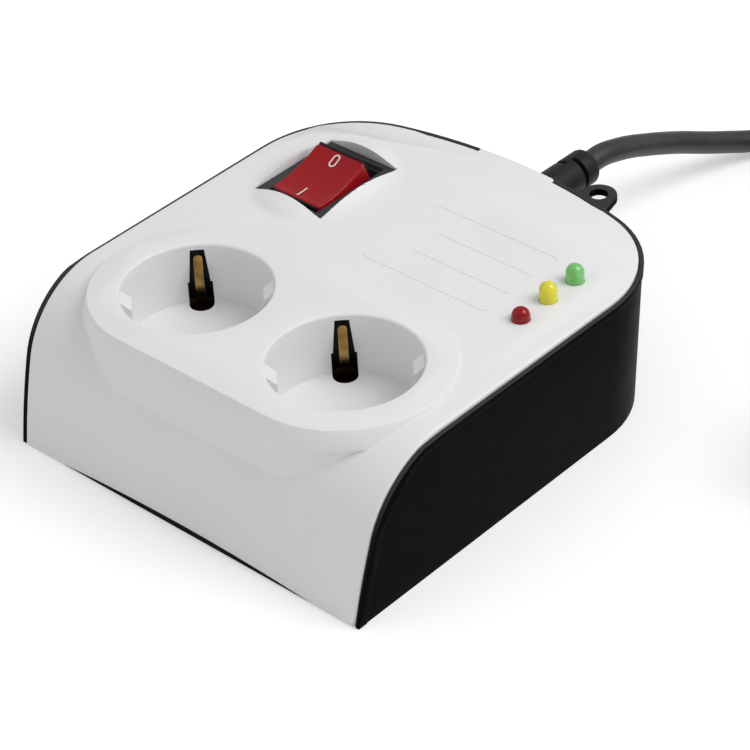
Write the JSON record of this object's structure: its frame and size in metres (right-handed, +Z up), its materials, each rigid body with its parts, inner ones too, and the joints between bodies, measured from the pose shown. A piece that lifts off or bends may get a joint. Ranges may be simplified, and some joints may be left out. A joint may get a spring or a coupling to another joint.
{
  "type": "voltage protector",
  "caption": "Table-top mains voltage protector with round earthed sockets, a lit rocker switch, status lamps, a hanging ear and a coiled mains cord with plug.",
  "frame": {"origin": "centre of the housing's box, without the cord and strain relief, on the face that it rests on", "axes": "+X to the right along the two sockets, +Y from the sloping front to the rear wall where the cord leaves, +Z up"},
  "size_m": [0.2047, 0.2852, 0.048],
  "materials": {
    "white_shell": "satin moulded plastic, slightly glossy",
    "black_shell": "fine-grained black moulded plastic",
    "dark_plastic": "satin dark grey",
    "black_plastic": "matt black",
    "ivory_plastic": "matt moulded insulator",
    "red_lens": "clear red, finely ribbed grip",
    "lamp_glass": "clear",
    "board_green": "solder mask",
    "relay_blue": "moulded case",
    "capacitor_yellow": "moulded case",
    "capacitor_sleeve": "shrink sleeve",
    "varistor_blue": "dipped coating",
    "led_red": "clear tinted epoxy",
    "led_yellow": "clear tinted epoxy",
    "led_green": "clear tinted epoxy",
    "brass": "rolled strip",
    "steel": "zinc plated",
    "nickel": "nickel plated",
    "wire_brown": "insulation",
    "wire_blue": "insulation",
    "wire_green_yellow": "insulation",
    "cord_rubber": "matt sheath"
  },
  "bodies": {
    "housing": {"base_tub": "black_shell", "top_cover": "white_shell", "housing_screws": "steel", "socket_tray": "ivory_plastic", "live_bus": "brass", "neutral_bus": "brass", "earth_clip_left": "brass", "earth_clip_right": "brass", "earth_link": "brass", "switch_body": "dark_plastic", "switch_terminals": "brass", "circuit_board": "board_green", "board_screws": "steel", "relay": "relay_blue", "film_capacitor": "capacitor_yellow", "storage_capacitor": "capacitor_sleeve", "varistor": "varistor_blue", "lamp_red": "led_red", "lamp_yellow": "led_yellow", "lamp_green": "led_green", "wires_live": "wire_brown", "wires_neutral": "wire_blue", "wire_earth": "wire_green_yellow", "strain_relief": "cord_rubber", "cord_inner": "cord_rubber", "cord_run": "cord_rubber", "cord_coil": "cord_rubber", "cord_end": "cord_rubber", "cord_tie": "black_plastic", "plug_body": "cord_rubber", "plug_pins": "nickel", "plug_earth_strips": "nickel"},
    "rocker": {"rocker_carrier": "black_plastic", "rocker_lens": "red_lens", "rocker_lamp": "lamp_glass"},
    "levers": {"contact_levers": "brass"}
  },
  "joints": [
    {"name": "rocker_tilt", "type": "hinge", "parent": "housing", "child": "rocker", "pos_m": [-0.0353, 0.0241, 0.034], "axis": [1, 0, 0], "range_deg": [-27, 0]},
    {"name": "lever_rock", "type": "hinge", "parent": "housing", "child": "levers", "pos_m": [-0.0353, 0.0241, 0.0283], "axis": [1, 0, 0], "range_deg": [0, 12]}
  ],
  "couplings": [
    {"joint": "lever_rock", "follows": "rocker_tilt", "ratio": -0.4444}
  ]
}
